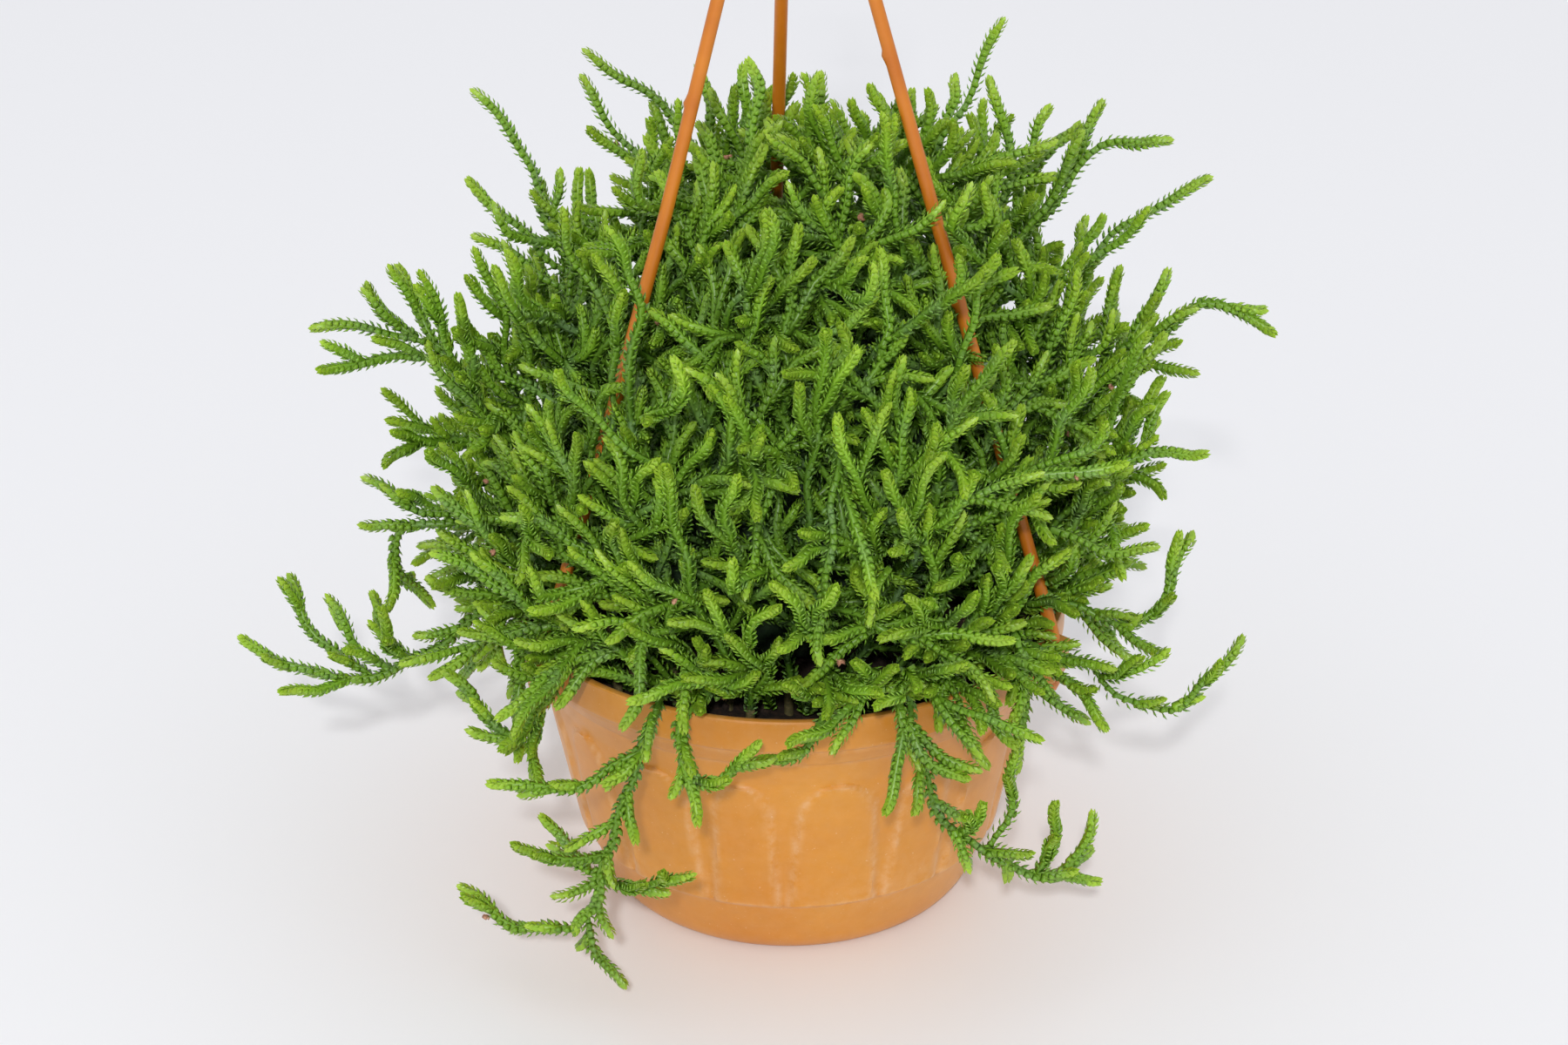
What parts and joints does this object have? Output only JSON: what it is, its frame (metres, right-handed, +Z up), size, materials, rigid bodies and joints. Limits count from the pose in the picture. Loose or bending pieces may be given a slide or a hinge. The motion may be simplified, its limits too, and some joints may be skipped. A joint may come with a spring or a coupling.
{
  "type": "potted watch chain plant",
  "caption": "Bushy succulent with thin stems packed in tiny four-ranked scale leaves, in a moulded bowl with a rod hanger and hook.",
  "frame": {"origin": "the middle of the pot's flat base, on the surface it stands on", "axes": "+Z up to the hook, -Y towards the front of the plant, +X to the right seen from the front"},
  "size_m": [0.3153, 0.2238, 0.4152],
  "materials": {
    "terracotta_plastic": "satin",
    "rod_plastic": "satin",
    "leafy_stem": "satin",
    "crowded_stems": "satin",
    "peat": "matte"
  },
  "bodies": {
    "root": {"hanger_hook": "rod_plastic", "hanger_rod_back": "rod_plastic", "hanger_rod_left": "rod_plastic", "hanger_rod_right": "rod_plastic", "mound": "crowded_stems", "pot": "terracotta_plastic", "soil": "peat", "spray_01": "leafy_stem", "spray_02": "leafy_stem", "spray_03": "leafy_stem", "spray_04": "leafy_stem", "spray_05": "leafy_stem", "spray_06": "leafy_stem", "spray_07": "leafy_stem", "spray_08": "leafy_stem", "spray_09": "leafy_stem", "spray_10": "leafy_stem", "spray_11": "leafy_stem", "spray_12": "leafy_stem", "spray_13": "leafy_stem", "spray_14": "leafy_stem", "spray_15": "leafy_stem", "spray_16": "leafy_stem", "spray_17": "leafy_stem", "spray_18": "leafy_stem", "spray_19": "leafy_stem", "spray_20": "leafy_stem", "spray_21": "leafy_stem", "spray_22": "leafy_stem", "spray_23": "leafy_stem", "spray_24": "leafy_stem", "spray_25": "leafy_stem", "spray_26": "leafy_stem", "spray_front_left_trailer": "leafy_stem", "spray_front_low_runner": "leafy_stem", "spray_front_right_trailer": "leafy_stem", "spray_front_rim_left": "leafy_stem", "spray_front_rim_right": "leafy_stem", "spray_left_drooper": "leafy_stem", "spray_left_fan": "leafy_stem", "spray_left_high": "leafy_stem", "spray_left_loop": "leafy_stem", "spray_left_upper": "leafy_stem", "spray_right_elbow": "leafy_stem", "spray_right_high": "leafy_stem", "spray_right_middle": "leafy_stem", "spray_right_runner": "leafy_stem"}
  },
  "joints": []
}
